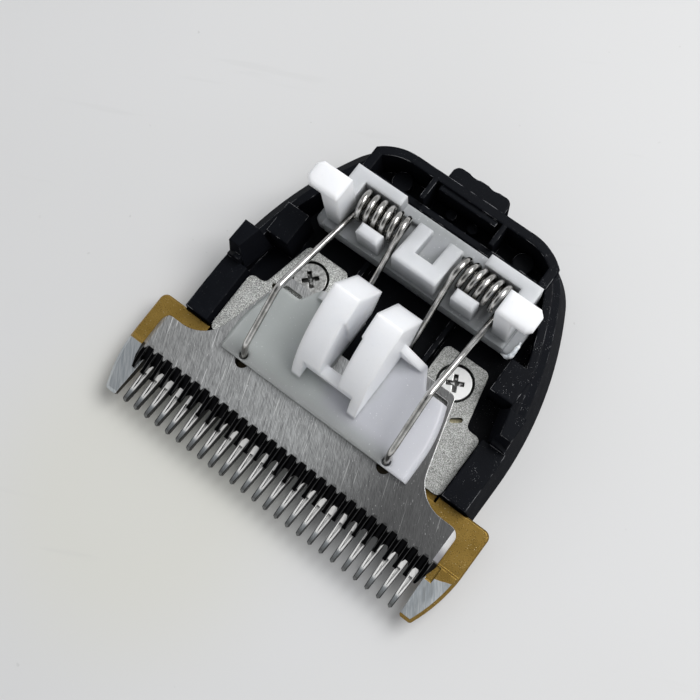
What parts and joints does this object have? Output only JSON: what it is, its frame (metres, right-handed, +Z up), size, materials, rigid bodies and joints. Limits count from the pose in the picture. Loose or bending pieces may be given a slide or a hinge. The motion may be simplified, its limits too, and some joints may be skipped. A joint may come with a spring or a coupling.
{
  "type": "hair clipper cutter head",
  "caption": "Cutter head of a hair clipper: toothed fixed and moving blades on a D-shaped carrier, with a sprung drive yoke and a sliding bar that sets the cutting length.",
  "frame": {"origin": "middle of the head's footprint, on the surface that it lies on", "axes": "+X along the row of teeth, +Y from the tooth tips to the latch tab, +Z up, away from the skin face"},
  "size_m": [0.0474, 0.0444, 0.0157],
  "materials": {
    "black_moulding": "satin",
    "coated_blade": "satin",
    "plated_sheet": "speckled",
    "screw_steel": "polished",
    "ground_blade": "ground",
    "white_moulding": "satin",
    "spring_wire": "bright drawn"
  },
  "bodies": {
    "head": {"carrier": "black_moulding", "fixed_blade": "coated_blade", "guide_plate": "plated_sheet", "left_screw": "screw_steel", "right_screw": "screw_steel"},
    "adjuster": {"spring_bar": "white_moulding", "left_spring": "spring_wire", "right_spring": "spring_wire"},
    "cutter": {"moving_blade": "ground_blade", "drive_yoke": "white_moulding"}
  },
  "joints": [
    {"name": "length_setting", "type": "slide", "parent": "head", "child": "adjuster", "axis": [0, 1, 0], "range_m": [-0.0016, 0.0002]},
    {"name": "cutter_stroke", "type": "slide", "parent": "adjuster", "child": "cutter", "axis": [1, 0, 0], "range_m": [-0.00085, 0.00175], "deforming": ["left_spring", "right_spring"]}
  ]
}
